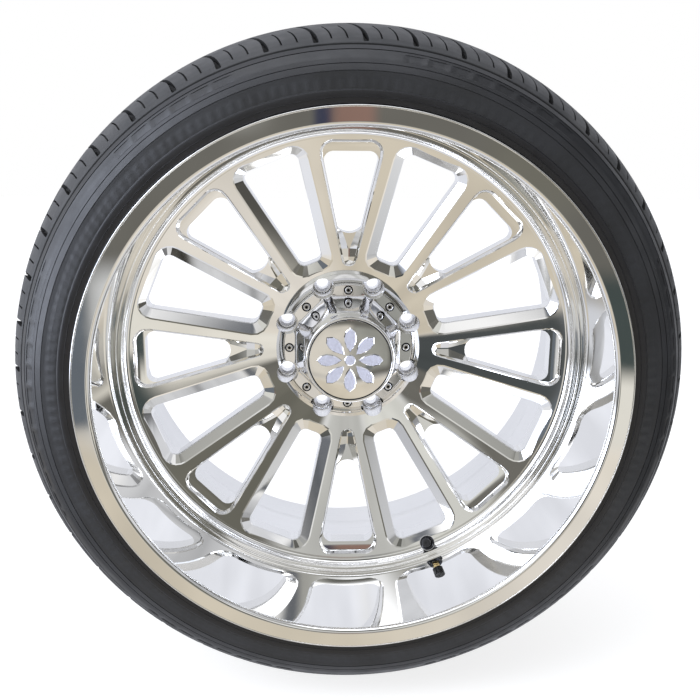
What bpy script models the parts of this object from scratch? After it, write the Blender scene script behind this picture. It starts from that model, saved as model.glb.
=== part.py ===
"""Deep-lip eight-stud forged wheel with its tyre, bolted centre cap and air valve.

Metres, +Z up. The wheel spins about +Y and its outboard face looks towards -Y. The origin is on the
axle line, midway across the rim. A "depth" is measured rearwards from the outboard lip plane.
"""
import math

import bmesh
import bpy
from mathutils import Matrix, Vector

TAU = 2 * math.pi
GAP = 0.0003

# Rim: 24 x 14 inches, 76 mm of negative offset.
RIM_WIDTH = 0.381
FLANGE_RADIUS = 0.3225
BEAD_SEAT_RADIUS = 0.3048
MOUNT_DEPTH = 0.2667
LIP_WALL_RADIUS = 0.299
SHELF_DEPTH = 0.1485
WELL_RADIUS = 0.2895
WELL_SKIN = 0.0055
REAR_FLARE_DEPTH = 0.352
RIM_SEGMENTS = 48

# Face: a shallow cone, deepest at the hub.
FACE_EDGE_RADIUS = 0.2835
FACE_EDGE_DEPTH = 0.1602
FACE_SLOPE = 0.289
SPOKE_BACK_OUTER = (0.1875, 0.279)
SPOKE_BACK_INNER = (0.240, 0.124)
PAD_RADIUS = 0.114

# Windows: eight open ones and eight stepped ones between them.
WINDOW_PAIRS = 8
CHAMFER_DROP = 0.006
CORNER_STEPS = 3

# Hub: eight studs on a 180 mm circle.
STUD_COUNT = 8
STUD_CIRCLE_RADIUS = 0.090
STUD_HOLE_RADIUS = 0.008
SOCKET_POCKET_RADIUS = 0.0135
SOCKET_FLOOR_DEPTH = 0.246
SEAT_END_DEPTH = 0.252
CENTRE_BORE_RADIUS = 0.06205
HUB_EDGE_RADIUS = 0.097
RECESS_FLOOR_RADIUS = 0.088
RECESS_FLOOR_DEPTH = 0.226

# Centre cap.
CAP_SCREW_CIRCLE_RADIUS = 0.0795
CAP_SCREW_RADIUS = 0.003
CAP_HEAD_RADIUS = 0.005
CAP_COUNTERBORE_RADIUS = 0.0063
CAP_HOLE_RADIUS = 0.0033
CAP_FLANGE_RADIUS = 0.087
CAP_FLANGE_DEPTH = 0.220
CAP_SCALLOP_RADIUS = 0.0158
CAP_FLAT_RADIUS = 0.0700
CAP_TOP_RADIUS = 0.060
CAP_TOP_DEPTH = 0.1545
CAP_SPIGOT_RADIUS = 0.060
CAP_SPIGOT_END = 0.240
CAP_HOLLOW_RADIUS = 0.054
PLATE_RADIUS = 0.053
PLATE_DEPTH = 0.155
PLATE_THICKNESS = 0.005
GASKET_OUTER_RADIUS = 0.0552

# Tyre: 33 inches tall, stretched on a wide rim.
TYRE_RADIUS = 0.4148
CROWN_KNOTS = ((0.037, 0.0286), (0.057, 0.0175), (0.095, 0.0066), (0.1905, 0.0))
TREAD_EDGE_DEPTH = 0.037
TREAD_THICKNESS = 0.009
BELT_THICKNESS = 0.0037
BELT_EDGE_DEPTH = 0.057
TYRE_SEGMENTS = RIM_SEGMENTS

# Air valve: its axis leans in towards the wheel centre.
VALVE_ANGLE = math.radians(157.5)
VALVE_LEAN = math.radians(29)
VALVE_SEAT_RADIUS = 0.2855
VALVE_SEAT_DEPTH = 0.1603
VALVE_GRIP = 0.0285
VALVE_HOLE_RADIUS = 0.0045
VALVE_THREAD_RADIUS = 0.004
SMALL_SEGMENTS = 16


def station(depth):
    """Row Y of a depth behind the outboard lip plane."""
    return depth - RIM_WIDTH / 2


def on_wheel(angle, radius, across, depth):
    """Point at a clock angle seen from the front, with a sideways offset along the tangent."""
    outward = Vector((math.sin(angle), 0, math.cos(angle)))
    sideways = Vector((math.cos(angle), 0, -math.sin(angle)))
    return outward * radius + sideways * across + Vector((0, station(depth), 0))


def face_depth(radius):
    return FACE_EDGE_DEPTH + (FACE_EDGE_RADIUS - radius) * FACE_SLOPE


def crown_radius(depth):
    """Outer radius of the tread at a depth in the outboard half, falling to the shoulder."""
    for (start, high), (end, low) in zip(CROWN_KNOTS, CROWN_KNOTS[1:]):
        if depth <= end:
            share = (depth - start) / (end - start)
            return TYRE_RADIUS - high - (low - high) * share
    return TYRE_RADIUS


def make_material(name, color, roughness, metallic):
    material = bpy.data.materials.new(name)
    material.use_nodes = True
    shader = material.node_tree.nodes["Principled BSDF"]
    shader.inputs["Base Color"].default_value = (*color, 1)
    shader.inputs["Roughness"].default_value = roughness
    shader.inputs["Metallic"].default_value = metallic
    return material


def make_object(name, bm, look, smooth_degrees=30):
    """Close a bmesh into a named object; look is (colour, roughness, metallic)."""
    bmesh.ops.recalc_face_normals(bm, faces=bm.faces)
    mesh = bpy.data.meshes.new(name)
    bm.to_mesh(mesh)
    bm.free()
    mesh.materials.append(make_material(name, *look))
    mesh.shade_smooth()
    mesh.set_sharp_from_angle(angle=math.radians(smooth_degrees))
    obj = bpy.data.objects.new(name, mesh)
    bpy.context.scene.collection.objects.link(obj)
    return obj


def add_rings(bm, rings, closed=False):
    """Skin a list of equal rings of points; open stacks get flat end caps."""
    loops = [[bm.verts.new(point) for point in ring] for ring in rings]
    pairs = list(zip(loops, loops[1:]))
    if closed:
        pairs.append((loops[-1], loops[0]))
    for first, second in pairs:
        count = len(first)
        for i in range(count):
            j = (i + 1) % count
            bm.faces.new((first[i], first[j], second[j], second[i]))
    if not closed:
        bm.faces.new(loops[0])
        bm.faces.new(loops[-1])


def circle(radius, y, segments):
    """Ring of points round the axle line."""
    turns = (TAU * i / segments for i in range(segments))
    return [Vector((radius * math.sin(a), y, radius * math.cos(a))) for a in turns]


def lathe(name, outline, look, segments=RIM_SEGMENTS, smooth_degrees=30):
    """Ring-shaped solid from a closed outline of (depth, radius) points."""
    bm = bmesh.new()
    rings = [circle(radius, station(depth), segments) for depth, radius in outline]
    add_rings(bm, rings, closed=True)
    return make_object(name, bm, look, smooth_degrees)


def disc(name, outline, look, segments=RIM_SEGMENTS):
    """Solid without a middle hole, from an open outline of (depth, radius) points."""
    bm = bmesh.new()
    add_rings(bm, [circle(radius, station(depth), segments) for depth, radius in outline])
    return make_object(name, bm, look)


def local_ring(radius, z, segments=SMALL_SEGMENTS, phase=0.0):
    """Ring of points round a small part's own Z axis."""
    turns = (TAU * i / segments + phase for i in range(segments))
    return [Vector((radius * math.cos(a), radius * math.sin(a), z)) for a in turns]


def local_solid(name, outline, look, frame, segments=SMALL_SEGMENTS, closed=False, phase=0.0):
    """Turned solid from (radius, z) points, placed by its parent frame."""
    bm = bmesh.new()
    add_rings(bm, [local_ring(r, z, segments, phase) for r, z in outline], closed)
    obj = make_object(name, bm, look)
    obj.parent = frame
    return obj


def make_cutter(name, bm):
    cutter = make_object(name, bm, ((0.8, 0.2, 0.2), 0.5, 0))
    cutter.hide_render = True
    cutter.display_type = "WIRE"
    return cutter


def cut(target, cutter):
    modifier = target.modifiers.new(cutter.name, "BOOLEAN")
    modifier.operation = "DIFFERENCE"
    modifier.solver = "EXACT"
    modifier.object = cutter


def rounded(corners, steps=CORNER_STEPS):
    """Polygon with arcs for corners; each corner is (radial, across, fillet radius)."""
    points = []
    for i, (radial, across, fillet) in enumerate(corners):
        here = Vector((radial, across))
        before = (Vector(corners[i - 1][:2]) - here).normalized()
        after = (Vector(corners[(i + 1) % len(corners)][:2]) - here).normalized()
        half = before.angle(after) / 2
        centre = here + (before + after).normalized() * (fillet / math.sin(half))
        start = here + before * (fillet / math.tan(half)) - centre
        finish = here + after * (fillet / math.tan(half)) - centre
        first = math.atan2(start.y, start.x)
        sweep = math.remainder(math.atan2(finish.y, finish.x) - first, TAU)
        for k in range(steps + 1):
            angle = first + sweep * k / steps
            points.append(centre + Vector((math.cos(angle), math.sin(angle))) * fillet)
    return points


def slot_outline(inner, outer, half_inner, half_outer, fillet_inner, fillet_outer):
    """Tapered slot, symmetric about its own radial line, narrow at the hub end."""
    return rounded(
        [
            (inner, -half_inner, fillet_inner),
            (outer, -half_outer, fillet_outer),
            (outer, half_outer, fillet_outer),
            (inner, half_inner, fillet_inner),
        ]
    )


def sunk(outline, drop, turn):
    """Outline laid on the face cone, a distance below it (above it if negative)."""
    ring = []
    for radial, across in outline:
        below = drop(radial) if callable(drop) else drop
        depth = face_depth(math.hypot(radial, across)) + below
        ring.append(on_wheel(turn, radial, across, depth))
    return ring


def grown(outer, inner, share):
    """Outline pushed past the outer one, on along the line from the inner one."""
    return [a + (a - b) * share for a, b in zip(outer, inner)]


OPEN_FACE = slot_outline(0.113, 0.2793, 0.0268, 0.0526, 0.019, 0.020)
OPEN_HOLE = slot_outline(0.1275, 0.2702, 0.0145, 0.0383, 0.009, 0.010)
STEPPED_FACE = slot_outline(0.114, 0.279, 0.00764, 0.0432, 0.0092, 0.016)
STEPPED_FLOOR = slot_outline(0.1165, 0.2765, 0.0056, 0.0404, 0.0066, 0.0145)
STEPPED_HOLE = slot_outline(0.158, 0.2652, 0.0153, 0.0380, 0.0140, 0.0130)
ABOVE_FACE = 0.0015
BEHIND_FACE = 0.275


def web_drop(radial):
    """Depth of the stepped window's floor: shallow at its tip and at its outer end."""
    tip, lip, rim = 0.1165, 0.158, 0.25
    if radial > lip:
        share = min(1, (radial - lip) / (rim - lip))
        return 0.012 + (CHAMFER_DROP - 0.012) * share
    return 0.003 + 0.009 * (radial - tip) / (lip - tip)


def add_open_window(bm, turn):
    share = ABOVE_FACE / CHAMFER_DROP
    top = sunk(grown(OPEN_FACE, OPEN_HOLE, share), -ABOVE_FACE, turn)
    edge = sunk(OPEN_HOLE, CHAMFER_DROP, turn)
    back = [on_wheel(turn, radial, across, BEHIND_FACE) for radial, across in OPEN_HOLE]
    add_rings(bm, [top, edge, back])


def add_stepped_pocket(bm, turn):
    """Sunk floor of a stepped window, bridged across in strips so that it closes cleanly."""
    share = ABOVE_FACE / CHAMFER_DROP
    top = sunk(grown(STEPPED_FACE, STEPPED_FLOOR, share), -ABOVE_FACE, turn)
    floor = sunk(STEPPED_FLOOR, web_drop, turn)
    lids = [[bm.verts.new(point) for point in ring] for ring in (top, floor)]
    count = len(top)
    for i in range(count):
        j = (i + 1) % count
        bm.faces.new((lids[0][i], lids[0][j], lids[1][j], lids[1][i]))
    for lid in lids:
        for i in range(count // 2 - 1):
            bm.faces.new((lid[i], lid[i + 1], lid[count - 2 - i], lid[count - 1 - i]))


def add_stepped_hole(bm, turn):
    rings = [
        [on_wheel(turn, radial, across, depth) for radial, across in STEPPED_HOLE]
        for depth in (0.150, BEHIND_FACE)
    ]
    add_rings(bm, rings)


def add_turned(bm, centre_angle, centre_radius, outline, segments):
    """Turned cutter parallel to the axle, from (depth, radius) points."""
    rings = []
    for depth, radius in outline:
        centre = on_wheel(centre_angle, centre_radius, 0, depth)
        rings.append([centre + point for point in circle(radius, 0, segments)])
    add_rings(bm, rings)


def valve_matrix():
    """Frame on the valve seat: Z points out of the seat, along the valve."""
    seat = on_wheel(VALVE_ANGLE, VALVE_SEAT_RADIUS, 0, VALVE_SEAT_DEPTH)
    outward = Vector((math.sin(VALVE_ANGLE), 0, math.cos(VALVE_ANGLE)))
    along = -outward * math.sin(VALVE_LEAN) - Vector((0, 1, 0)) * math.cos(VALVE_LEAN)
    side = Vector((math.cos(VALVE_ANGLE), 0, -math.sin(VALVE_ANGLE)))
    across = along.cross(side)
    return Matrix.Translation(seat) @ Matrix((side, across, along)).transposed().to_4x4()


def rim_outline():
    """Closed (depth, radius) outline of the forging, from the lip round by the tyre side."""
    width = RIM_WIDTH
    seat = BEAD_SEAT_RADIUS
    wall = seat - 0.0006
    return [
        (0.0, 0.3055),
        (0.0, 0.3202),
        (0.0012, FLANGE_RADIUS),
        (0.0055, FLANGE_RADIUS),
        (0.0127, 0.318),
        (0.0129, 0.3072),
        (0.0165, seat),
        (0.0370, 0.3040),
        (0.0400, 0.3060),
        (0.0440, wall),
        (0.1825, wall),
        (0.1907, WELL_RADIUS),
        (0.2620, WELL_RADIUS),
        (0.3050, wall),
        (width - 0.044, wall),
        (width - 0.040, 0.3060),
        (width - 0.037, 0.3040),
        (width - 0.0165, seat),
        (width - 0.0129, 0.3072),
        (width - 0.0127, 0.318),
        (width - 0.0055, FLANGE_RADIUS),
        (width, FLANGE_RADIUS),
        (width, 0.3185),
        (0.3690, 0.3045),
        (REAR_FLARE_DEPTH, LIP_WALL_RADIUS),
        (0.3070, LIP_WALL_RADIUS),
        (0.2660, WELL_RADIUS - WELL_SKIN),
        (0.1970, WELL_RADIUS - WELL_SKIN),
        SPOKE_BACK_OUTER,
        SPOKE_BACK_INNER,
        (0.2610, 0.1150),
        (MOUNT_DEPTH, PAD_RADIUS - 0.004),
        (MOUNT_DEPTH, CENTRE_BORE_RADIUS),
        (RECESS_FLOOR_DEPTH, CENTRE_BORE_RADIUS),
        (RECESS_FLOOR_DEPTH, RECESS_FLOOR_RADIUS),
        (0.2170, 0.0938),
        (face_depth(HUB_EDGE_RADIUS), HUB_EDGE_RADIUS),
        (FACE_EDGE_DEPTH, FACE_EDGE_RADIUS),
        (0.1570, 0.2885),
        (SHELF_DEPTH, 0.2925),
        (SHELF_DEPTH, LIP_WALL_RADIUS),
        (0.0065, LIP_WALL_RADIUS),
        (0.0022, 0.3012),
    ]


def window_cutter():
    bm = bmesh.new()
    for i in range(WINDOW_PAIRS):
        turn = TAU * i / WINDOW_PAIRS
        add_stepped_pocket(bm, turn)
        add_open_window(bm, turn + TAU / WINDOW_PAIRS / 2)
    return make_cutter("cutter_windows", bm)


def slot_cutter():
    bm = bmesh.new()
    for i in range(WINDOW_PAIRS):
        add_stepped_hole(bm, TAU * i / WINDOW_PAIRS)
    return make_cutter("cutter_slots", bm)


def bore_cutter():
    """Socket pockets with their stud holes, and the tapped holes for the cap screws."""
    bm = bmesh.new()
    socket = [
        (0.200, SOCKET_POCKET_RADIUS),
        (SOCKET_FLOOR_DEPTH, SOCKET_POCKET_RADIUS),
        (SEAT_END_DEPTH, STUD_HOLE_RADIUS),
        (0.270, STUD_HOLE_RADIUS),
    ]
    tapped = [(0.224, CAP_HOLE_RADIUS), (0.243, CAP_HOLE_RADIUS)]
    for i in range(STUD_COUNT):
        turn = TAU * i / STUD_COUNT
        add_turned(bm, turn + TAU / STUD_COUNT / 2, STUD_CIRCLE_RADIUS, socket, 20)
        add_turned(bm, turn, CAP_SCREW_CIRCLE_RADIUS, tapped, 10)
    return make_cutter("cutter_bores", bm)


def valve_cutter(frame):
    """Spot face on the fillet, and the hole through to the tyre side."""
    bm = bmesh.new()
    profile = [(0.0105, 0.022), (0.0105, 0.0), (VALVE_HOLE_RADIUS, 0.0), (VALVE_HOLE_RADIUS, -0.034)]
    add_rings(bm, [local_ring(r, z, 20) for r, z in profile])
    cutter = make_cutter("cutter_valve", bm)
    cutter.parent = frame
    return cutter


POLISHED = ((0.80, 0.79, 0.76), 0.05, 1.0)
RUBBER = ((0.045, 0.048, 0.055), 0.75, 0.0)
SEAL = ((0.02, 0.02, 0.02), 0.6, 0.0)
STEEL = ((0.55, 0.56, 0.58), 0.3, 1.0)
BRASS = ((0.75, 0.58, 0.28), 0.25, 1.0)
BLACK = ((0.02, 0.022, 0.025), 0.4, 0.6)


def build_forging(valve_frame):
    forging = lathe("wheel_forging", rim_outline(), POLISHED)
    cut(forging, window_cutter())
    cut(forging, slot_cutter())
    cut(forging, bore_cutter())
    cut(forging, valve_cutter(valve_frame))


def both_sides(half):
    """Mirror a half outline of (depth, radius) points about the middle of the rim."""
    mirrored = [(RIM_WIDTH - depth, radius) for depth, radius in reversed(half)]
    return half + [point for point in mirrored if point[0] > RIM_WIDTH / 2 + 1e-6]


def crown_line(first, drop):
    """Points under the crown from a depth to the middle of the rim."""
    depths = [first] + [knot for knot, _ in CROWN_KNOTS if knot > first + 1e-6]
    return [(depth, crown_radius(depth) - drop) for depth in depths]


def casing_outline():
    """Casing section, with channels in the beads for the cores."""
    under_tread = TREAD_THICKNESS + GAP
    under_belt = under_tread + BELT_THICKNESS + GAP
    outside = [
        (0.0355, 0.3058),
        (0.0165, 0.3054),
        (0.0133, 0.3078),
        (0.0132, 0.3184),
        (0.0060, 0.3232),
        (0.0052, 0.3330),
        (0.0110, 0.3517),
        (0.0200, 0.3700),
        (TREAD_EDGE_DEPTH - GAP, 0.3855),
        (TREAD_EDGE_DEPTH - GAP, crown_radius(TREAD_EDGE_DEPTH) - under_tread),
        (BELT_EDGE_DEPTH - GAP, crown_radius(BELT_EDGE_DEPTH - GAP) - under_tread),
    ]
    outside += crown_line(BELT_EDGE_DEPTH - GAP, under_belt)
    inside = [
        (0.0350, 0.3085),
        (0.0220, 0.3085),
        (0.0220, 0.3175),
        (0.0340, 0.3175),
        (0.0220, 0.3300),
        (0.0300, 0.3580),
        (0.0560, 0.3760),
    ]
    inside += crown_line(0.095, under_belt + 0.008)
    return both_sides(outside) + list(reversed(both_sides(inside)))


def band(name, first, top, bottom, look):
    """Band of rubber or cord lying under the crown."""
    outer = both_sides(crown_line(first, top))
    inner = both_sides(crown_line(first, bottom))
    lathe(name, outer + list(reversed(inner)), look, TYRE_SEGMENTS)


def build_tyre():
    lathe("tyre_casing", casing_outline(), RUBBER, TYRE_SEGMENTS)
    belt_top = TREAD_THICKNESS + GAP
    band("belt_package", BELT_EDGE_DEPTH, belt_top, belt_top + BELT_THICKNESS, STEEL)
    band("tread_band", TREAD_EDGE_DEPTH, 0, TREAD_THICKNESS, RUBBER)
    core = [(0.0223, 0.3089), (0.0332, 0.3089), (0.0332, 0.3171), (0.0223, 0.3171)]
    lathe("bead_core_outboard", core, STEEL, TYRE_SEGMENTS)
    mirrored = [(RIM_WIDTH - depth, radius) for depth, radius in core]
    lathe("bead_core_inboard", mirrored, STEEL, TYRE_SEGMENTS)


def cap_angles():
    """Half-sector samples round the cap, with one on each corner of a scallop."""
    half_sector = TAU / STUD_COUNT / 2
    reach = (CAP_FLANGE_RADIUS**2 + STUD_CIRCLE_RADIUS**2 - CAP_SCALLOP_RADIUS**2) / (
        2 * CAP_FLANGE_RADIUS * STUD_CIRCLE_RADIUS
    )
    corner = half_sector - math.acos(reach)
    steps = [0.0, corner / 2, corner, (corner + half_sector) / 2]
    angles = []
    for i in range(STUD_COUNT):
        tab = 2 * half_sector * i
        angles += [tab + step for step in steps]
        angles += [tab + half_sector]
        angles += [tab + 2 * half_sector - step for step in reversed(steps[1:])]
    return angles


def scalloped(angle, radius):
    """Radius of the cap outline where it gives way to the socket pockets."""
    sector = TAU / STUD_COUNT
    from_stud = (angle % sector) - sector / 2
    sine = STUD_CIRCLE_RADIUS * math.sin(from_stud)
    if abs(sine) >= CAP_SCALLOP_RADIUS:
        return radius
    chord = math.sqrt(CAP_SCALLOP_RADIUS**2 - sine**2)
    return min(radius, STUD_CIRCLE_RADIUS * math.cos(from_stud) - chord)


def flatted(angle, radius, share):
    """Blend from a circle to the eight flats that face the cap screws."""
    sector = TAU / STUD_COUNT
    from_tab = ((angle + sector / 2) % sector) - sector / 2
    flat = scalloped(angle, radius / math.cos(from_tab))
    return radius + (flat - radius) * share


def cap_ring(depth, radius_at):
    return [on_wheel(angle, radius_at(angle), 0, depth) for angle in cap_angles()]


def build_cap_body():
    """Scalloped flange, eight-sided tower and spigot, hollow from behind."""
    flange_back = RECESS_FLOOR_DEPTH - GAP
    tower = [(0.2185, CAP_FLAT_RADIUS, 1.0), (0.180, 0.0635, 0.45), (0.164, CAP_TOP_RADIUS, 0.0)]
    groove = GASKET_OUTER_RADIUS + 0.0004
    floor = PLATE_DEPTH + PLATE_THICKNESS + GAP
    rings = [cap_ring(flange_back, lambda a: scalloped(a, CAP_FLANGE_RADIUS))]
    rings.append(cap_ring(CAP_FLANGE_DEPTH + 0.001, lambda a: scalloped(a, CAP_FLANGE_RADIUS)))
    rings.append(cap_ring(CAP_FLANGE_DEPTH, lambda a: scalloped(a, CAP_FLANGE_RADIUS - 0.001)))
    rings.append(cap_ring(CAP_FLANGE_DEPTH, lambda a: flatted(a, CAP_FLAT_RADIUS + 0.002, 1.0)))
    for depth, radius, share in tower:
        rings.append(cap_ring(depth, lambda a, r=radius, s=share: flatted(a, r, s)))
    for depth, radius in (
        (CAP_TOP_DEPTH + 0.002, CAP_TOP_RADIUS - 0.001),
        (CAP_TOP_DEPTH, CAP_TOP_RADIUS - 0.003),
        (CAP_TOP_DEPTH, groove),
        (floor, groove),
        (floor, 0.047),
        (0.200, CAP_HOLLOW_RADIUS),
        (CAP_SPIGOT_END, CAP_HOLLOW_RADIUS),
        (CAP_SPIGOT_END, CAP_SPIGOT_RADIUS),
        (0.2345, CAP_SPIGOT_RADIUS),
        (0.2345, 0.0582),
        (0.2310, 0.0582),
        (0.2310, CAP_SPIGOT_RADIUS),
        (flange_back, CAP_SPIGOT_RADIUS),
    ):
        rings.append(cap_ring(depth, lambda a, r=radius: r))
    bm = bmesh.new()
    add_rings(bm, rings, closed=True)
    body = make_object("cap_body", bm, POLISHED)
    bm = bmesh.new()
    profile = [
        (0.205, CAP_COUNTERBORE_RADIUS),
        (0.2222, CAP_COUNTERBORE_RADIUS),
        (0.2222, CAP_HOLE_RADIUS),
        (0.230, CAP_HOLE_RADIUS),
    ]
    for i in range(STUD_COUNT):
        add_turned(bm, TAU * i / STUD_COUNT, CAP_SCREW_CIRCLE_RADIUS, profile, 12)
    cut(body, make_cutter("cutter_cap", bm))


def build_cap_front():
    """Face plate, its black gasket, the raised emblem and the spigot seal."""
    back = PLATE_DEPTH + PLATE_THICKNESS
    disc("cap_plate", [(back, PLATE_RADIUS), (PLATE_DEPTH, PLATE_RADIUS)], POLISHED, 48)
    gasket = [
        (back, PLATE_RADIUS + GAP),
        (back, GASKET_OUTER_RADIUS),
        (PLATE_DEPTH + 0.0006, GASKET_OUTER_RADIUS),
        (PLATE_DEPTH + 0.0006, PLATE_RADIUS + GAP),
    ]
    lathe("cap_gasket", gasket, SEAL, 48)
    seal = [(0.2313, 0.0585), (0.2313, 0.0617), (0.2342, 0.0617), (0.2342, 0.0585)]
    lathe("cap_o_ring", seal, SEAL, 32)
    bm = bmesh.new()
    rings = []
    for depth in (PLATE_DEPTH - GAP, PLATE_DEPTH - GAP - 0.0015):
        ring = []
        for i in range(2 * STUD_COUNT):
            radius = 0.038 if i % 2 == 0 else 0.017
            ring.append(on_wheel(TAU * i / (2 * STUD_COUNT), radius, 0, depth))
        rings.append(ring)
    add_rings(bm, rings)
    make_object("cap_emblem", bm, ((0.82, 0.84, 0.88), 0.3, 0.3), 10)


def build_cap_screw(index):
    """Button-head socket screw, its head sunk in the flange."""
    place = on_wheel(TAU * index / STUD_COUNT, CAP_SCREW_CIRCLE_RADIUS, 0, RIM_WIDTH / 2)
    profile = [
        (0.2400, CAP_SCREW_RADIUS),
        (0.2219, CAP_SCREW_RADIUS),
        (0.2219, CAP_HEAD_RADIUS),
        (0.2200, CAP_HEAD_RADIUS),
        (0.2188, CAP_HEAD_RADIUS - 0.0018),
        (0.2188, 0.0021),
        (0.2208, 0.0021),
    ]
    bm = bmesh.new()
    add_rings(bm, [circle(radius, station(depth), 12) for depth, radius in profile])
    screw = make_object("cap_screw_%d" % (index + 1), bm, STEEL)
    screw.location = place


def build_valve_body(frame):
    """Stem clamped through the fillet, with its nut, washer and inner seal."""
    head = -VALVE_GRIP - 0.0045
    washer = [(0.0043, 0.0003), (0.0098, 0.0003), (0.0098, 0.0020), (0.0043, 0.0024)]
    local_solid("valve_washer", washer, BLACK, frame, 20, True)
    nut = [(0.0050, 0.0027), (0.0089, 0.0027), (0.0089, 0.0075), (0.0080, 0.0085), (0.0050, 0.0085)]
    local_solid("valve_nut", nut, BLACK, frame, 6, True, math.radians(15))
    seal = [(0.0044, -0.0320), (0.0080, -0.0320), (0.0080, -0.0291), (0.0044, -0.0291)]
    local_solid("valve_grommet", seal, SEAL, frame, 16, True)
    stem = [
        (0.0080, head - 0.0025),
        (0.0080, -0.0323),
        (VALVE_THREAD_RADIUS, -0.0323),
        (VALVE_THREAD_RADIUS, 0.0135),
        (0.0038, 0.0140),
        (0.0038, 0.0220),
        (0.0026, 0.0225),
        (0.0026, 0.0010),
        (0.0015, -0.0010),
        (0.0015, head - 0.0025),
    ]
    local_solid("valve_stem", stem, BRASS, frame, SMALL_SEGMENTS, True)


def build_valve_core(frame):
    """Core sleeve, its pin with the sealing plug, and the return spring."""
    sleeve = [(0.0023, 0.0060), (0.0023, 0.0200), (0.0015, 0.0205), (0.0015, 0.0078), (0.0009, 0.0070)]
    sleeve.append((0.0009, 0.0060))
    local_solid("valve_core_body", sleeve, BRASS, frame, 12, True)
    pin = [
        (0.0018, 0.0032),
        (0.0018, 0.0056),
        (0.0005, 0.0057),
        (0.0005, 0.0150),
        (0.0012, 0.0150),
        (0.0012, 0.0160),
        (0.0006, 0.0165),
        (0.0006, 0.0222),
    ]
    local_solid("valve_pin", pin, BRASS, frame, 8)
    build_spring(frame, 0.0082, 0.0128)


def build_spring(frame, low, high):
    turns, per_turn, coil, wire = 5, 8, 0.0010, 0.0002
    count = turns * per_turn
    rings = []
    for i in range(count + 1):
        angle = TAU * i / per_turn
        spoke = Vector((math.cos(angle), math.sin(angle), 0))
        centre = spoke * coil + Vector((0, 0, low + (high - low) * i / count))
        section = (TAU * k / 5 for k in range(5))
        rings.append([centre + (spoke * math.cos(t) + Vector((0, 0, math.sin(t)))) * wire for t in section])
    bm = bmesh.new()
    add_rings(bm, rings)
    spring = make_object("valve_core_spring", bm, STEEL)
    spring.parent = frame


def build_valve_cap(frame):
    """Screwed dust cap and the seal inside its end."""
    cap = [
        (0.0043, 0.0152),
        (0.0057, 0.0152),
        (0.0060, 0.0158),
        (0.0060, 0.0268),
        (0.0048, 0.0277),
        (0.0010, 0.0277),
        (0.0010, 0.0268),
        (0.0043, 0.0262),
    ]
    local_solid("valve_cap", cap, BLACK, frame, SMALL_SEGMENTS, True)
    seal = [(0.0039, 0.0236), (0.0039, 0.0258)]
    local_solid("valve_cap_seal", seal, SEAL, frame, 12)


def clear_scene():
    for obj in list(bpy.data.objects):
        bpy.data.objects.remove(obj)


def main():
    clear_scene()
    valve_frame = bpy.data.objects.new("valve_frame", None)
    bpy.context.scene.collection.objects.link(valve_frame)
    valve_frame.matrix_world = valve_matrix()
    build_forging(valve_frame)
    build_tyre()
    build_cap_body()
    build_cap_front()
    for index in range(STUD_COUNT):
        build_cap_screw(index)
    build_valve_body(valve_frame)
    build_valve_core(valve_frame)
    build_valve_cap(valve_frame)


main()
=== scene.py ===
"""Looks for the deep-lip forged wheel with its tyre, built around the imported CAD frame.

Sizes are in millimetres unless a name says otherwise. A "depth" is measured rearwards from the
outboard lip plane; a clock angle runs clockwise from the top as seen from the front.
"""

import math

import bmesh
import bpy
import numpy as np
from mathutils import Matrix, Vector


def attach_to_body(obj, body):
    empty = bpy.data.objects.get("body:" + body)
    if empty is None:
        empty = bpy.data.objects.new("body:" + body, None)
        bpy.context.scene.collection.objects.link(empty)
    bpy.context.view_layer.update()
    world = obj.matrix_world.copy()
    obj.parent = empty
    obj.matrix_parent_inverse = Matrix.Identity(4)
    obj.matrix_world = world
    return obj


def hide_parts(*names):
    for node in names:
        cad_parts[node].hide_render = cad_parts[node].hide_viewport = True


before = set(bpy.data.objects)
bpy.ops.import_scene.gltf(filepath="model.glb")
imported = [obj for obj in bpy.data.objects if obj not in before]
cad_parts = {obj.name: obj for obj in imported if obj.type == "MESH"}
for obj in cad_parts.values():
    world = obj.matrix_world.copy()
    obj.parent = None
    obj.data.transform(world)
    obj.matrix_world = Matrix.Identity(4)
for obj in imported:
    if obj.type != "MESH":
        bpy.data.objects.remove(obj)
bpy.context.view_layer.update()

TAU = 2 * math.pi
MM = 0.001
HALF_WIDTH = 190.5
WIDTH = 2 * HALF_WIDTH
SECTORS = 8
SECTOR = TAU / SECTORS

# Face cone of the forging, and the shelf beside it that the barrel rises from.
FACE_EDGE_RADIUS = 283.5
FACE_EDGE_DEPTH = 160.2
FACE_SLOPE = 0.289
SHELF_DEPTH = 148.5

STUD_CIRCLE = 90
SCREW_CIRCLE = 79.5

VALVE_ANGLE = math.radians(157.5)
VALVE_LEAN = math.radians(29)
VALVE_SEAT = (285.5, 160.3)


# ---- points and meshes

def wheel_points(angle, radius, depth):
    """Row-frame points in metres from clock angles, radii and depths."""
    angle, radius, depth = np.broadcast_arrays(angle, radius, depth)
    spread = [radius * np.sin(angle), depth - HALF_WIDTH, radius * np.cos(angle)]
    return np.stack(spread, -1).astype(float) * MM


def spoke_axes(turn):
    """Unit vectors out along a spoke line and clockwise across it."""
    return Vector((math.sin(turn), 0, math.cos(turn))), Vector((math.cos(turn), 0, -math.sin(turn)))


def on_sector(turn, radial, across, depth):
    """Row-frame point from a distance out along a spoke line and a distance across it."""
    outward, sideways = spoke_axes(turn)
    return (outward * radial + sideways * across + Vector((0, depth - HALF_WIDTH, 0))) * MM


def ring_on_circle(turn, circle, radii, depth):
    """Ring of points round a bore or screw whose axis lies on a bolt circle."""
    angles = TAU * np.arange(len(radii)) / len(radii)
    return [
        on_sector(turn, circle + radius * math.cos(a), radius * math.sin(a), depth)
        for a, radius in zip(angles, radii)
    ]


def face_depth(radius):
    return FACE_EDGE_DEPTH + (FACE_EDGE_RADIUS - radius) * FACE_SLOPE


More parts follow.
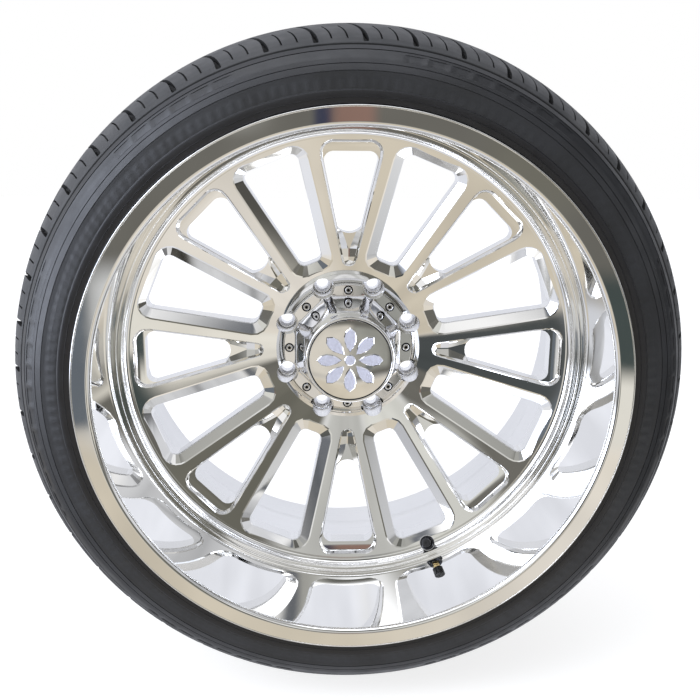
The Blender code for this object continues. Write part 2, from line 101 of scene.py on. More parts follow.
def circle_angles(segments):
    return np.arange(segments) * TAU / segments


def sine_cosine(degrees):
    return math.sin(math.radians(degrees)), math.cos(math.radians(degrees))


def grid_faces(rows, cols, wrap_rows=True):
    row, col = np.meshgrid(
        np.arange(rows if wrap_rows else rows - 1), np.arange(cols), indexing="ij"
    )
    below, beside = (row + 1) % rows, (col + 1) % cols
    quads = [row * cols + col, row * cols + beside, below * cols + beside, below * cols + col]
    return np.stack(quads, -1).reshape(-1, 4)


def face_out(mesh):
    """Turn the faces of a closed mesh to look out."""
    bm = bmesh.new()
    bm.from_mesh(mesh)
    if bm.calc_volume(signed=True) < 0:
        bmesh.ops.reverse_faces(bm, faces=bm.faces)
    bm.to_mesh(mesh)
    bm.free()


def mesh_from(name, points, faces, slots=None):
    mesh = bpy.data.meshes.new(name)
    mesh.from_pydata([tuple(p) for p in points], [], [tuple(int(i) for i in f) for f in faces])
    if slots is not None:
        mesh.polygons.foreach_set("material_index", np.asarray(slots, np.int32))
    face_out(mesh)
    return mesh


def link_object(name, data):
    obj = bpy.data.objects.new(name, data)
    bpy.context.scene.collection.objects.link(obj)
    return obj


def shade(mesh, sharp_degrees):
    mesh.shade_smooth()
    mesh.set_sharp_from_angle(angle=math.radians(sharp_degrees))


def add_object(name, mesh, materials):
    obj = link_object(name, mesh)
    for material in materials:
        mesh.materials.append(material)
    return obj


def attach(obj, node, body="wheel"):
    """Put a finished piece on its body, in place of its CAD node."""
    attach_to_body(obj, body)
    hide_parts(node)


def add_piece(name, mesh, materials, sharp_degrees, node, body="wheel"):
    obj = add_object(name, mesh, materials)
    shade(mesh, sharp_degrees)
    attach(obj, node, body)


def fillet_points(before, corner, after, fillet, steps=None):
    """Points round the fillet of a corner; without a count, one for about every 11 degrees."""
    here = Vector(corner[:2])
    to_before = (Vector(before[:2]) - here).normalized()
    to_after = (Vector(after[:2]) - here).normalized()
    half = to_before.angle(to_after) / 2
    centre = here + (to_before + to_after).normalized() * (fillet / math.sin(half))
    start = here + to_before * (fillet / math.tan(half)) - centre
    finish = here + to_after * (fillet / math.tan(half)) - centre
    first = math.atan2(start.y, start.x)
    sweep = math.remainder(math.atan2(finish.y, finish.x) - first, TAU)
    if steps is None:
        steps = max(2, math.ceil(abs(math.degrees(sweep)) / 11))
    angles = [first + sweep * k / steps for k in range(steps + 1)]
    return [(centre.x + fillet * math.cos(a), centre.y + fillet * math.sin(a)) for a in angles]


def round_path(corners):
    """Closed polyline with arcs at its corners, and the tag of each point.

    A corner is (u, v, fillet[, tag]); the tag names the run after it.
    """
    path, tags = [], []
    for i, corner in enumerate(corners):
        if corner[2] > 0:
            after = corners[(i + 1) % len(corners)]
            points = fillet_points(corners[i - 1], corner, after, corner[2])
        else:
            points = [tuple(Vector(corner[:2]))]
        path += points
        tags += [corner[3] if len(corner) > 3 else 0] * len(points)
    return path, tags


def lathe_mesh(name, outline, segments, tags=None):
    """Ring-shaped closed mesh from a closed outline of (depth, radius) points."""
    outline = np.array(outline, float)
    points = wheel_points(circle_angles(segments)[None, :], outline[:, 1:2], outline[:, 0:1])
    slots = None if tags is None else np.repeat(np.array(tags), segments)
    return mesh_from(name, points.reshape(-1, 3), grid_faces(len(outline), segments), slots)


def stack_mesh(name, rings, closed=False, slots=None):
    """Mesh skinned over equal rings of points; an open stack gets end caps."""
    rings = np.array(rings, float)
    rows, cols = rings.shape[:2]
    faces = [tuple(f) for f in grid_faces(rows, cols, closed)]
    if not closed:
        faces.append(tuple(range(cols)))
        faces.append(tuple(range((rows - 1) * cols, rows * cols)))
    return mesh_from(name, rings.reshape(-1, 3), faces, slots)


def join_meshes(name, meshes):
    bm = bmesh.new()
    for mesh in meshes:
        bm.from_mesh(mesh)
        bpy.data.meshes.remove(mesh)
    joined = bpy.data.meshes.new(name)
    bm.to_mesh(joined)
    bm.free()
    return joined


# ---- materials

def add_node(tree, kind, inputs, **settings):
    """New node with its settings; an input is a value, or the socket that feeds it."""
    node = tree.nodes.new("ShaderNode" + kind)
    for key, value in settings.items():
        setattr(node, key, value)
    for key, value in inputs.items():
        socket = node.inputs[key]
        if isinstance(value, bpy.types.NodeSocket):
            tree.links.new(value, socket)
        elif isinstance(value, tuple):
            socket.default_value = (*value, 1)
        else:
            socket.default_value = value
    return node


def shader_parts(name, metallic, roughness):
    material = bpy.data.materials.new(name)
    material.use_nodes = True
    tree = material.node_tree
    shader = tree.nodes["Principled BSDF"]
    shader.inputs["Metallic"].default_value = metallic
    shader.inputs["Roughness"].default_value = roughness
    return material, tree, shader


def object_coords(tree):
    return add_node(tree, "TexCoord", {}).outputs["Object"]


def noise(tree, coords, scale, detail):
    inputs = {"Vector": coords, "Scale": scale, "Detail": detail}
    return add_node(tree, "TexNoise", inputs).outputs["Fac"]


def maths(tree, operation, *values):
    return add_node(tree, "Math", dict(enumerate(values)), operation=operation).outputs[0]


def smoothstep(tree, value, low, high):
    inputs = {"Value": value, "From Min": low, "From Max": high}
    return add_node(tree, "MapRange", inputs, interpolation_type="SMOOTHSTEP").outputs["Result"]


def mix_colour(tree, factor, first, second, blend="MIX"):
    inputs = {0: factor, 6: first, 7: second}
    return add_node(tree, "Mix", inputs, data_type="RGBA", blend_type=blend).outputs[2]


def plane_coords(tree, first, first_scale, second, second_scale):
    """Texture coordinates from two sockets, each stretched by its scale."""
    x = maths(tree, "MULTIPLY", first, first_scale)
    y = maths(tree, "MULTIPLY", second, second_scale)
    return add_node(tree, "CombineXYZ", {0: x, 1: y}).outputs[0]


def ramp(tree, factor, *stops):
    """Colour or value ramp; a stop is (position, (r, g, b)) or (position, value)."""
    node = add_node(tree, "ValToRGB", {"Fac": factor})
    elements = node.color_ramp.elements
    while len(elements) < len(stops):
        elements.new(0.5)
    for element, (position, colour) in zip(elements, stops):
        element.position = position
        element.color = (*colour, 1) if isinstance(colour, tuple) else (colour, colour, colour, 1)
    return node.outputs["Color"]


def noise_ramp(tree, coords, scale, detail, *stops):
    return ramp(tree, noise(tree, coords, scale, detail), *stops)


def coat(tree, shader, base, rough=None):
    tree.links.new(base, shader.inputs["Base Color"])
    if rough is not None:
        tree.links.new(rough, shader.inputs["Roughness"])


def bump(tree, shader, height, strength, distance_mm):
    """Adds a bump on top of the ones the shader already has."""
    inputs = {"Strength": strength, "Distance": distance_mm * MM, "Height": height}
    previous = shader.inputs["Normal"].links
    if previous:
        inputs["Normal"] = previous[0].from_socket
    node = add_node(tree, "Bump", inputs)
    tree.links.new(node.outputs["Normal"], shader.inputs["Normal"])


def darker(tint, share):
    return tuple(c * share for c in tint)


def wheel_polar(tree):
    """Clock angle, radius and depth sockets of the shaded point, in radians and metres."""
    x, y, z = add_node(tree, "SeparateXYZ", {0: object_coords(tree)}).outputs
    angle = maths(tree, "ARCTAN2", x, z)
    squares = [maths(tree, "MULTIPLY", value, value) for value in (x, z)]
    return angle, maths(tree, "SQRT", maths(tree, "ADD", *squares)), y


def speckled(name, metallic, roughness, colour, rough, relief):
    """Surface broken up by noise.

    colour and rough are (scale, detail, *stops); relief is (scale, detail, strength, distance).
    """
    material, tree, shader = shader_parts(name, metallic, roughness)
    coords = object_coords(tree)
    base = noise_ramp(tree, coords, *colour)
    coat(tree, shader, base, rough and noise_ramp(tree, coords, *rough))
    bump(tree, shader, noise(tree, coords, *relief[:2]), *relief[2:])
    return material


def polished(name, tint, roughness, ripple):
    """Mirror-polished alloy: faint buffing haze and a very slight ripple."""
    haze = 9, 3, (0.3, darker(tint, 0.965)), (0.7, tint)
    streak = 60, 6, (0.35, roughness), (0.8, roughness + 0.03)
    return speckled(name, 1, roughness, haze, streak, (28, 1, ripple, 0.25))


def rubber(name, base, worn, roughness, grain_mm):
    """Moulded rubber: fine grain, slight bloom and dusty patches."""
    bloom = 14, 5, (0.35, base), (0.72, worn)
    patch = 45, 4, (0.3, roughness - 0.08), (0.75, roughness + 0.1)
    return speckled(name, 0, roughness, bloom, patch, (1000 / grain_mm / 4, 2, 0.25, 0.08))


def metal(name, tint, roughness):
    """Small machined metal parts."""
    cloud = 120, 3, (0.3, darker(tint, 0.85)), (0.7, tint)
    grain = 400, 3, (0.3, roughness), (0.8, roughness + 0.12)
    return speckled(name, 1, roughness, cloud, grain, (1200, 2, 0.15, 0.02))


def hard_plastic(name, base, roughness, variation):
    light = tuple(min(1, c * (1 + variation) + 0.004) for c in base)
    cloud = 260, 3, (0.35, base), (0.8, light)
    return speckled(name, 0, roughness, cloud, None, (2500, 2, 0.2, 0.02))


def turned(name, tint, roughness, pitch_mm, strength):
    """Satin alloy with fine lathe lines running round the wheel."""
    material, tree, shader = shader_parts(name, 1, roughness)
    angle, radius, depth = wheel_polar(tree)
    run = maths(tree, "ADD", radius, depth)
    lines = noise(tree, plane_coords(tree, run, 1000 / pitch_mm, angle, 1.5), 1, 3)
    base = noise_ramp(tree, object_coords(tree), 7, 3, (0.3, darker(tint, 0.93)), (0.7, tint))
    coat(tree, shader, base, ramp(tree, lines, (0.3, roughness - 0.05), (0.7, roughness + 0.07)))
    bump(tree, shader, lines, strength, 0.05)
    return material


def sidewall_rubber(name):
    """Satin sidewall: fine moulding rings, radial flow marks and a black band beside the rim."""
    material, tree, shader = shader_parts(name, 0, 0.42)
    coords = object_coords(tree)
    angle, radius, _ = wheel_polar(tree)
    stops = (0.3, (0.006, 0.0065, 0.008)), (0.7, (0.014, 0.015, 0.018))
    base = noise_ramp(tree, coords, 16, 6, *stops)
    beyond_band = smoothstep(tree, radius, 0.3365, 0.3385)
    shader.inputs["Specular IOR Level"].default_value = 0.66
    base = mix_colour(tree, beyond_band, (0.004, 0.004, 0.006), base)
    coat(tree, shader, base, noise_ramp(tree, coords, 40, 5, (0.3, 0.34), (0.75, 0.5)))
    rings = noise(tree, plane_coords(tree, radius, 700, angle, 3), 1, 3)
    flow = noise(tree, plane_coords(tree, radius, 25, angle, 55), 1, 4)
    bump(tree, shader, rings, 0.35, 0.12)
    bump(tree, shader, flow, 0.3, 0.35)
    bump(tree, shader, noise(tree, coords, 1400, 2), 0.25, 0.06)
    return material


ALLOY = (0.93, 0.925, 0.91)
POLISH = polished("polished_alloy", ALLOY, 0.02, 0.008)
CAP_POLISH = polished("cap_polished", (0.95, 0.955, 0.975), 0.06, 0.008)
FACET = polished("polished_facets", ALLOY, 0.035, 0.02)
WALL = turned("milled_walls", (0.88, 0.88, 0.875), 0.16, 1.2, 0.1)
BARREL = turned("barrel_satin", (0.9, 0.9, 0.9), 0.32, 0.9, 0.25)
TYRE_SIDE = turned("bead_seat_satin", (0.8, 0.8, 0.8), 0.38, 1.1, 0.25)
BACK = turned("machined_back", (0.86, 0.86, 0.86), 0.24, 1.4, 0.22)
BORE = polished("reamed_bores", (0.94, 0.94, 0.95), 0.2, 0.01)
SIDEWALL = sidewall_rubber("sidewall_rubber")
TREAD = rubber("tread_rubber", (0.026, 0.027, 0.029), (0.046, 0.046, 0.047), 0.56, 0.4)
# Near-black, rougher rubber on the tread's groove walls and floors: painted shade in the grooves.
GROOVE_SHADE = rubber("groove_painted_shade", (0.004, 0.004, 0.004), (0.007, 0.007, 0.007), 0.75, 0.4)
SEAL = rubber("seal_rubber", (0.012, 0.012, 0.012), (0.022, 0.022, 0.022), 0.45, 0.2)
CORD = metal("drawn_steel", (0.5, 0.51, 0.53), 0.3)
SCREW = metal("screw_steel", (0.78, 0.78, 0.79), 0.14)
# Near-black colour in the cap's counterbores and holes and in the screw sockets: painted shade of
# these recesses.
RECESS_SHADE = metal("recess_painted_shade", (0.03, 0.03, 0.033), 0.42)
BRASS = metal("turned_brass", (0.78, 0.6, 0.3), 0.2)
EMBLEM = hard_plastic("emblem_enamel", (0.6, 0.61, 0.72), 0.32, 0.12)
EMBLEM_EDGE = polished("emblem_edge", (0.95, 0.95, 0.97), 0.05, 0.01)
ANODISED = metal("black_anodised", (0.05, 0.052, 0.06), 0.17)
PLASTIC = hard_plastic("black_plastic", (0.01, 0.01, 0.011), 0.38, 0.6)


# ---- forging

SLOT_POLISH, SLOT_FACET, SLOT_BARREL, SLOT_TYRE_SIDE, SLOT_BACK, SLOT_WALL, SLOT_BORE = range(7)
FORGING_MATERIALS = [POLISH, FACET, BARREL, TYRE_SIDE, BACK, WALL, BORE]
FLAT_SLOTS = {SLOT_FACET, SLOT_WALL}
TURNED_SLOTS = {SLOT_POLISH, SLOT_BARREL, SLOT_TYRE_SIDE, SLOT_BACK}
FORGING_SEGMENTS = 360


def fillet_curve():
    """Hollow sweep from the face up to the shelf, quarter of an ellipse."""
    return [
        (SHELF_DEPTH + 11.7 * sine, FACE_EDGE_RADIUS + 9 * cosine, 0)
        for sine, cosine in map(sine_cosine, range(84, 0, -6))
    ]


def forging_outline():
    """Section of the forging as (depth, radius, fillet) corners, in runs of one finish."""
    lip = [
        (0, 299, 6.2), (0, 320.2, 0.15), (0.6, 320.6, 0.1), (0, 321, 0.2), (0, 322.5, 1.1),
    ]
    seat = [
        (5.5, 322.5, 1), (12.7, 318, 1), (12.9, 307.2, 1), (16.5, 304.8, 0.8), (37, 304, 0),
        (40, 306, 0.5),
    ]
    well = [
        (44, 304.2, 0), (182.5, 304.2, 3), (190.7, 289.5, 6), (262, 289.5, 8), (305, 304.2, 3),
        (337, 304.2, 0),
    ]
    *tyre_side, rear_edge = seat + well + [(WIDTH - d, r, fillet) for d, r, fillet in seat[::-1]]
    barrel = [
        rear_edge, (381, 322.5, 1.5), (381, 318.5, 1), (369, 304.5, 6),
        (352, 299, 8), (307, 299, 16), (266, 284, 16), (197, 284, 6),
    ]
    back = [
        (187.5, 279, 3), (240, 124, 8), (261, 115, 4), (266.7, 110, 1.2),
        (266.7, 62.05, 0.8), (226, 62.05, 0.8),
    ]
    face = [
        (226, 88, 0.5), (217, 93.8, 0.3), (face_depth(97), 97, 0.3),
        (FACE_EDGE_DEPTH, FACE_EDGE_RADIUS, 0), *fillet_curve(),
    ]
    steps = [
        (0, 292.5, 0.25), (0, 293.6, 0), (0.7, 294, 0), (0.7, 294.7, 0), (0, 295.1, 0),
        (0, 296.3, 0), (0.5, 296.7, 0), (0, 297.1, 0), (0, 299, 0.7),
    ]
    shelf = [(SHELF_DEPTH + drop, radius, fillet) for drop, radius, fillet in steps]
    runs = (
        (lip, SLOT_POLISH), (tyre_side, SLOT_TYRE_SIDE), (barrel, SLOT_BARREL),
        (back, SLOT_BACK), (face + shelf, SLOT_POLISH),
    )
    return round_path([(*corner, slot) for corners, slot in runs for corner in corners])


def slot_plan(inner, outer):
    """Plan of a tapered slot as (radial, across) points, its corners cut in flats.

    Each end is (radial, half width, fillet, flats).
    """
    corners = [
        (end[0], side * end[1], *end[2:])
        for end, side in ((inner, -1), (outer, -1), (outer, 1), (inner, 1))
    ]
    plan = []
    for i, corner in enumerate(corners):
        plan += fillet_points(corners[i - 1], corner, corners[(i + 1) % 4], *corner[2:])
    return np.array(plan)


def sunk_ring(plan, drop, turn):
    """Plan laid a distance below the face cone."""
    return [on_sector(turn, r, a, face_depth(math.hypot(r, a)) + drop) for r, a in plan]


def level_ring(plan, depth, turn):
    return [on_sector(turn, r, a, depth) for r, a in plan]


OPEN_FACE = slot_plan((113, 26.8, 19, 3), (279.3, 52.6, 20, 5))
OPEN_HOLE = slot_plan((127.5, 14.5, 9, 3), (270.2, 38.3, 10, 5))
CHAMFER_DROP = 6
EASE = 0.07
ABOVE_FACE = 1.5
BEHIND = 276


def open_window(turn):
    """Chamfered window, its face edge and its inner edge eased by narrow flats."""
    slope = OPEN_FACE - OPEN_HOLE
    lead = OPEN_FACE + slope * EASE * (1 + 2 * ABOVE_FACE / (CHAMFER_DROP * EASE))
    rings = [
        sunk_ring(lead, -ABOVE_FACE, turn),
        sunk_ring(OPEN_FACE - slope * EASE, CHAMFER_DROP * EASE, turn),
        sunk_ring(OPEN_HOLE + slope * EASE, CHAMFER_DROP * 0.86, turn),
        sunk_ring(OPEN_HOLE, CHAMFER_DROP * 1.15, turn),
        level_ring(OPEN_HOLE, BEHIND, turn),
    ]
    return cutter_mesh(rings, SLOT_FACET, SLOT_FACET, SLOT_FACET, SLOT_WALL)


def stepped_half_width(radial):
    """Half width of the stepped window's outline along its straight sides."""
    return 10 + (radial - 125) * 0.2155


STEPPED_TIP = 123.2
STEPPED_CORNER = (262.6, 22.9)


def stepped_levels():
    """Levels of a stepped window, as (radial, half width, drop) rows from tip to end.

    They are its outline, its shoulder and its floor.
    """
    outline, shoulder, floor = [], [], []
    for degrees in (10, 35, 60):
        sine, cosine = sine_cosine(degrees)
        outline.append((STEPPED_TIP - 9.2 * cosine, 9.4 * sine, 0))
        shoulder.append((STEPPED_TIP - 6.8 * cosine, 6.9 * sine, 3.2 + 0.02 * degrees))
        floor.append((STEPPED_TIP - 3.6 * cosine, 0.35 + 0.006 * degrees, 5 + 0.02 * degrees))
    for radial in (126, 137, 148, 160, 164, 200, 240, 258):
        half = stepped_half_width(radial)
        outline.append((radial, half, 0))
        shoulder.append((radial, half - 2.5, 6))
        if radial < 162:
            wide = 0.8 + max(0, radial - 137) * 0.357
            deep = 6.4 + min(1, (radial - 126) / 11) * 4
            floor.append((radial, wide, deep))
        else:
            floor.append((radial, half - 3, 6.6))
    for sine, cosine in map(sine_cosine, (12, 30, 48, 66, 84)):
        for level, reach, drop in ((outline, 16.4, 0), (shoulder, 13.9, 6), (floor, 13.4, 6.3)):
            radial, half = STEPPED_CORNER
            level.append((radial + reach * sine, half + reach * cosine, drop))
    return outline, shoulder, floor


def stepped_pocket_mesh(bm, turn):
    """Sunk floor of a stepped window: steep rim, sloping flanks and a flat keel, in strips."""
    outline, shoulder, floor = stepped_levels()
    lead, rim = [], []
    for (r0, h0, _), (r1, h1, deep) in zip(outline, shoulder):
        for row, share, drop in ((lead, 0.9, -ABOVE_FACE), (rim, -0.12, deep * 0.16)):
            row.append((r0 + (r0 - r1) * share, h0 + (h0 - h1) * share, drop))
    last = len(outline) - 1
    verts = []
    for level in (lead, rim, shoulder, floor):
        sides = []
        for sign in (-1, 1):
            row = []
            for radial, half, drop in level:
                depth = face_depth(math.hypot(radial, half)) + drop
                row.append(bm.verts.new(on_sector(turn, radial, sign * half, depth)))
            sides.append(row)
        verts.append(sides)
    for upper, lower in zip(verts, verts[1:]):
        for above, below in zip(upper, lower):
            for k in range(last):
                bm.faces.new((above[k], above[k + 1], below[k + 1], below[k]))
        for k in (0, last):
            bm.faces.new((upper[0][k], upper[1][k], lower[1][k], lower[0][k]))
    for left, right in (verts[0], verts[-1]):
        for k in range(last):
            bm.faces.new((left[k], left[k + 1], right[k + 1], right[k]))


def stepped_hole_plan():
    """Through hole of a stepped window: a round end to the hub and rounded outer corners."""
    right = []
    for sine, cosine in map(sine_cosine, (0, 12, 24, 36, 48, 58)):
        right.append((178.7 - 20.7 * cosine, 20.7 * sine))
    radial, half = right[-1]
    right[-1] = (radial, min(half, stepped_half_width(radial) - 3.2))
    right += [(radial, stepped_half_width(radial) - 3.1) for radial in (200, 249)]
    for sine, cosine in map(sine_cosine, (5, 25, 45, 65, 85)):
        right.append((253 + 12.2 * sine, 22.4 + 12.2 * cosine))
    left = [(r, -a) for r, a in reversed(right[1:])]
    return np.array(right + left)


def cutter_mesh(rings, *kinds):
    """Capped stack of rings, with one kind of face per step and the last kind on the caps."""
    slots = [kind for kind in kinds for _ in rings[0]] + [kinds[-1]] * 2
    return stack_mesh("cutter", rings, slots=slots)


def bore_mesh(turn, circle, profile, segments, slot):
    """Round cutter parallel to the axle, from (depth, radius) points."""
    rings = [ring_on_circle(turn, circle, [radius] * segments, depth) for depth, radius in profile]
    return cutter_mesh(rings, *[slot] * (len(profile) - 1))


def valve_matrix():
    """Frame on the valve seat, in metres: Z points out of the seat."""
    radius, depth = VALVE_SEAT
    seat = on_sector(VALVE_ANGLE, radius, 0, depth)
    out, side = spoke_axes(VALVE_ANGLE)
    along = -out * math.sin(VALVE_LEAN) - Vector((0, 1, 0)) * math.cos(VALVE_LEAN)
    axes = Matrix((side, along.cross(side), along)).transposed()
    return Matrix.Translation(seat) @ axes.to_4x4()


def local_rings(profile, segments, shape=None):
    """Rings about a local Z axis from (radius, z) points, in millimetres turned to metres."""
    angles = circle_angles(segments)
    rings = []
    for radius, z in profile:
        radii = np.full(segments, float(radius)) if shape is None else shape(angles, radius, z)
        flat = [radii * np.cos(angles), radii * np.sin(angles), np.full(segments, z)]
        rings.append(np.stack(flat, -1) * MM)
    return rings


def forging_cutters():
    windows, pockets, holes, bores = [], bmesh.new(), [], []
    hole_plan = stepped_hole_plan()
    stud = [(200, 13.5), (244.6, 13.5), (246, 12.1), (246, 11.2), (251.4, 8), (270, 8)]
    tapped = [(224, 3.3), (243, 3.3)]
    for i in range(SECTORS):
        turn = SECTOR * i
        between = turn + SECTOR / 2
        windows.append(open_window(between))
        stepped_pocket_mesh(pockets, turn)
        rings = [level_ring(hole_plan, depth, turn) for depth in (150, BEHIND)]
        holes.append(cutter_mesh(rings, SLOT_WALL))
        bores.append(bore_mesh(between, STUD_CIRCLE, stud, 48, SLOT_BORE))
        bores.append(bore_mesh(turn, SCREW_CIRCLE, tapped, 24, SLOT_BORE))
    bmesh.ops.recalc_face_normals(pockets, faces=pockets.faces)
    for face in pockets.faces:
        face.material_index = SLOT_FACET
    pocket_mesh = bpy.data.meshes.new("pockets")
    pockets.to_mesh(pocket_mesh)
    pockets.free()
    rings = local_rings([(10.5, 22), (10.5, 0), (4.5, 0), (4.5, -36)], 48)
    valve = cutter_mesh(rings, *[SLOT_BORE] * 3)
    valve.transform(valve_matrix())
    return [windows, [pocket_mesh], holes, bores, [valve]]


def subtract(obj, groups):
    """Cut each group of meshes from the object, one group after another."""
    cutters = [link_object("cutter", join_meshes("cutter", meshes)) for meshes in groups]
    for cutter in cutters:
        modifier = obj.modifiers.new("cut", "BOOLEAN")
        modifier.operation = "DIFFERENCE"
        modifier.solver = "EXACT"
        modifier.object = cutter
    graph = bpy.context.evaluated_depsgraph_get()
    result = bpy.data.meshes.new_from_object(obj.evaluated_get(graph), depsgraph=graph)
    obj.modifiers.clear()
    obj.data = result
    for cutter in cutters:
        bpy.data.objects.remove(cutter)


LONG_RUN = 2.5
CREASE = 24
FINE_CREASE = 6


def run_normals(outline):
    """Outline runs, and the normals at the start and end of each.

    Fillets blend into the flats beside them, and a flat keeps its own normal.
    """
    points = np.array(outline, float)
    step = np.roll(points, -1, 0) - points
    length = np.maximum(np.linalg.norm(step, axis=1), 1e-6)
    normal = np.stack([step[:, 1], -step[:, 0]], 1) / length[:, None]
    after = np.roll(points, -1, 0)
    area = np.sum(points[:, 0] * after[:, 1] - after[:, 0] * points[:, 1])
    normal *= math.copysign(1, area)
    first, last = normal.copy(), normal.copy()
    for i in range(len(points)):
        j = (i + 1) % len(points)
        long_i, long_j = length[i] > LONG_RUN, length[j] > LONG_RUN
        if normal[i] @ normal[j] < math.cos(math.radians(CREASE)) or (long_i and long_j):
            continue
        if long_i or long_j:
            shared = normal[i] if long_i else normal[j]
        else:
            shared = normal[i] + normal[j]
        last[i] = first[j] = shared / np.linalg.norm(shared)
    return points, step, length, normal, first, last


def read(items, attribute, width=1):
    """Array of one attribute over a mesh collection: whole numbers, or vectors of a width."""
    values = np.zeros(len(items) * width, np.int32 if width == 1 else np.float32)
    items.foreach_get(attribute, values)
    return values if width == 1 else values.reshape(-1, width)


def nearest_runs(points, step, length, normal, centres, facing):
    """Outline run that each (depth, radius) centre lies on, judged by distance and facing."""
    best = np.full(len(centres), np.inf)
    chosen = np.zeros(len(centres), np.int32)
    for i in range(len(points)):
        along = (centres - points[i]) @ step[i] / length[i] ** 2
        foot = points[i] + np.clip(along, 0, 1)[:, None] * step[i]
        score = np.linalg.norm(centres - foot, axis=1) + 0.4 * (1 - facing @ normal[i])
        closer = score < best
        best[closer] = score[closer]
        chosen[closer] = i
    return chosen


def mark_creases(mesh):
    bm = bmesh.new()
    bm.from_mesh(mesh)
    for edge in bm.edges:
        if len(edge.link_faces) == 2:
            kinds = {face.material_index for face in edge.link_faces}
            limit = math.radians(FINE_CREASE if kinds & FLAT_SLOTS else CREASE)
            if kinds & FLAT_SLOTS and kinds - FLAT_SLOTS:
                limit = 0
            edge.smooth = edge.calc_face_angle(0) < limit
    for face in bm.faces:
        face.smooth = True
    bm.to_mesh(mesh)
    bm.free()


def set_turned_normals(mesh, outline):
    """Sharp facets where cut, and exact round shading where turned."""
    mark_creases(mesh)
    normals = read(mesh.corner_normals, "vector", 3).astype(float)
    flat = read(mesh.polygons, "normal", 3)
    middle = read(mesh.polygons, "center", 3)
    places = read(mesh.vertices, "co", 3)[read(mesh.loops, "vertex_index")].astype(float)
    kinds = read(mesh.polygons, "material_index")
    owner = np.repeat(np.arange(len(kinds)), read(mesh.polygons, "loop_total"))

    reach = np.hypot(middle[:, 0], middle[:, 2])
    out = middle[:, [0, 2]] / np.maximum(reach, 1e-9)[:, None]
    facing = np.stack([flat[:, 1], flat[:, 0] * out[:, 0] + flat[:, 2] * out[:, 1]], -1)
    centres = np.stack([middle[:, 1] / MM + HALF_WIDTH, reach / MM], -1)
    points, step, length, normal, first, last = run_normals(outline)
    runs = nearest_runs(points, step, length, normal, centres, facing)[owner]

    radius = np.hypot(places[:, 0], places[:, 2])
    section = np.stack([places[:, 1] / MM + HALF_WIDTH, radius / MM], -1)
    along = np.sum((section - points[runs]) * step[runs], 1) / length[runs] ** 2
    along = np.clip(along, 0, 1)[:, None]
    bent = first[runs] * (1 - along) + last[runs] * along
    bent /= np.linalg.norm(bent, axis=1, keepdims=True)
    sine, cosine = places[:, 0] / radius, places[:, 2] / radius
    straight = np.stack([bent[:, 1] * sine, bent[:, 0], bent[:, 1] * cosine], -1)
    use = np.isin(kinds[owner], list(TURNED_SLOTS))
    normals[use] = straight[use]
    mesh.normals_split_custom_set(normals.tolist())


def build_forging():
    outline, tags = forging_outline()
    mesh = lathe_mesh("forging", outline, FORGING_SEGMENTS, tags)
    obj = add_object("forging", mesh, FORGING_MATERIALS)
    subtract(obj, forging_cutters())
    set_turned_normals(obj.data, outline)
    attach(obj, "wheel_forging")


# ---- tyre

CROWN_DEPTHS = (37, 45, 55, 65, 75, 95, 115, 140, 165, 190.5)
CROWN_RADII = (386.2, 391.6, 396.6, 400.3, 403.3, 408.2, 411.3, 413.5, 414.5, 414.75)
CAD_CROWN_DEPTHS = (37, 57, 95, 190.5)
CAD_CROWN_RADII = (386.2, 397.3, 408.2, 414.8)
TREAD_SECTORS = 45
TREAD_PITCH = TAU / TREAD_SECTORS
TREAD_THICKNESS = 9
GROOVE_WALL = 0.25
GROOVE_BED = 1.2

# Kinds of tread row, and the rows of the outboard half as (kind, drop of the row, depths).
PLAIN, MOUTH, SHOULDER, RIB, CENTRE = range(5)
CHANNEL_DROP = 7.5
TREAD_ROWS = (
    (PLAIN, 0.6, (37.3,)), (PLAIN, 0, (37.9, 38.8, 39.4)), (MOUTH, 0, (39.8, 41, 43, 44.6)),
    (SHOULDER, 0, (45, 48, 51, 54, 58, 63, 69, 76, 83, 90)),
    (MOUTH, 0, (90.5, 98, 106, 113, 116.6)), (MOUTH, 0.5, (117.2,)),
    (PLAIN, CHANNEL_DROP, (117.6, 122, 126.4)), (PLAIN, 0.5, (126.8,)),
    (PLAIN, 0, (127.4, 130)), (RIB, 0, (130.4, 136, 142, 148, 152)),
    (PLAIN, 0, (152.4, 156.4)), (PLAIN, 0.5, (157,)),
    (PLAIN, CHANNEL_DROP, (157.4, 162, 166.6)), (PLAIN, 0.5, (167,)),
    (PLAIN, 0, (167.6, 172)), (CENTRE, 0, (172.4, 178, 184, 190.5)),
)


def cad_crown(depth):
    return float(np.interp(depth, CAD_CROWN_DEPTHS, CAD_CROWN_RADII))


def mirror_rows(rows):
    """Outboard half rows (depth first) followed by their inboard mirror images."""
    back = [(WIDTH - row[0], *row[1:]) for row in reversed(rows)]
    return rows + [row for row in back if row[0] > HALF_WIDTH + 1e-6]


def groove_shift(depth):
    """Sideways sweep of the shoulder grooves, in tread run, signed towards smaller angles."""
    run = max(depth - 40, 0)
    return -(0.05 * run + 0.0026 * run * run)


def tread_cuts(depth, kind):
    """Cuts across one pitch at a row, as (centre share of the pitch, width, depth of cut)."""
    if kind in (MOUTH, SHOULDER):
        lead = min(1, max(0, (depth - 39) / 3))
        taper = 5.8 - 2 * min(1, max(0, (depth - 44) / 22))
        fine = 3.5 if kind == SHOULDER else 0
        return [(0.16, taper * (0.8 + 0.2 * lead), 6.5), (0.48, 1.5, fine), (0.8, 1.5, fine)]
    if kind == RIB:
        return [(0.16, 2.2, 5), (0.48, 0.8, 3), (0.8, 0.8, 3)]
    if kind == CENTRE:
        return [(0.16, 0.8, 3), (0.48, 2, 4), (0.8, 0.8, 3)]
    return [(0.16, 3, 0), (0.48, 1, 0), (0.8, 1, 0)]


